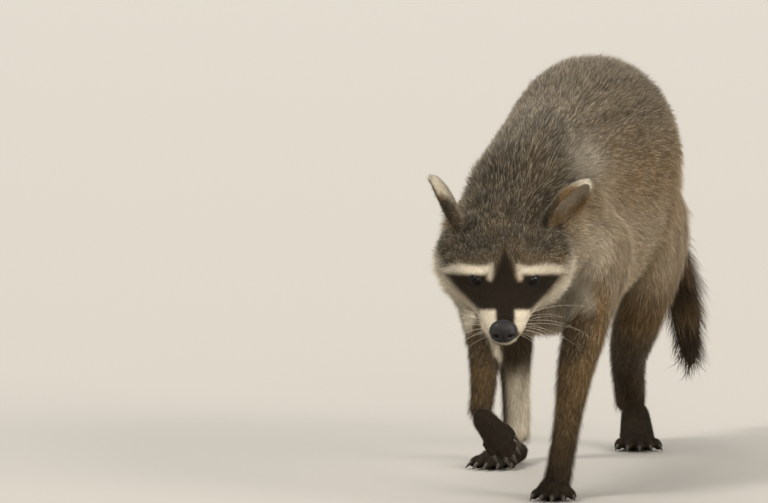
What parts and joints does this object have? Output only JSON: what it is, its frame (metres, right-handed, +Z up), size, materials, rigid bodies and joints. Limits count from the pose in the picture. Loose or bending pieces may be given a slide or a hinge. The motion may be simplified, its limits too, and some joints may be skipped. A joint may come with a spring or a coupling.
{
  "type": "raccoon",
  "caption": "Still, life-size raccoon walking with its head low, one forepaw lifted and the tail hanging behind.",
  "frame": {"origin": "on the floor, at the centre of the box around the whole animal", "axes": "the animal faces -Y and walks that way, +X is its own left side, +Z is up; its tail is at the +Y end"},
  "size_m": [0.1654, 0.5952, 0.3424],
  "materials": {
    "grey_coat": "grizzled grey-brown fur",
    "buff_coat": "golden buff fur",
    "dark_coat": "short dark brown fur",
    "pale_coat": "short cream fur",
    "nose_leather": "bare, finely pebbled and slightly moist",
    "eye": "wet gloss over dark brown"
  },
  "bodies": {
    "root": {"eye_left": "eye", "eye_right": "eye", "nose": "nose_leather", "head": "grey_coat", "neck": "grey_coat", "chest": "grey_coat", "belly": "grey_coat", "rump": "grey_coat", "jaw": "pale_coat", "ear_left": "pale_coat", "ear_right": "pale_coat", "upper_arm_left": "buff_coat", "thigh_left": "buff_coat", "forearm_left": "dark_coat", "forepaw_left": "dark_coat", "shank_left": "dark_coat", "hind_foot_left": "dark_coat", "upper_arm_right": "buff_coat", "thigh_right": "buff_coat", "forearm_right": "dark_coat", "forepaw_right": "dark_coat", "shank_right": "dark_coat", "hind_foot_right": "dark_coat", "tail_base": "dark_coat", "tail_middle": "dark_coat", "tail_tip": "dark_coat"}
  },
  "joints": []
}
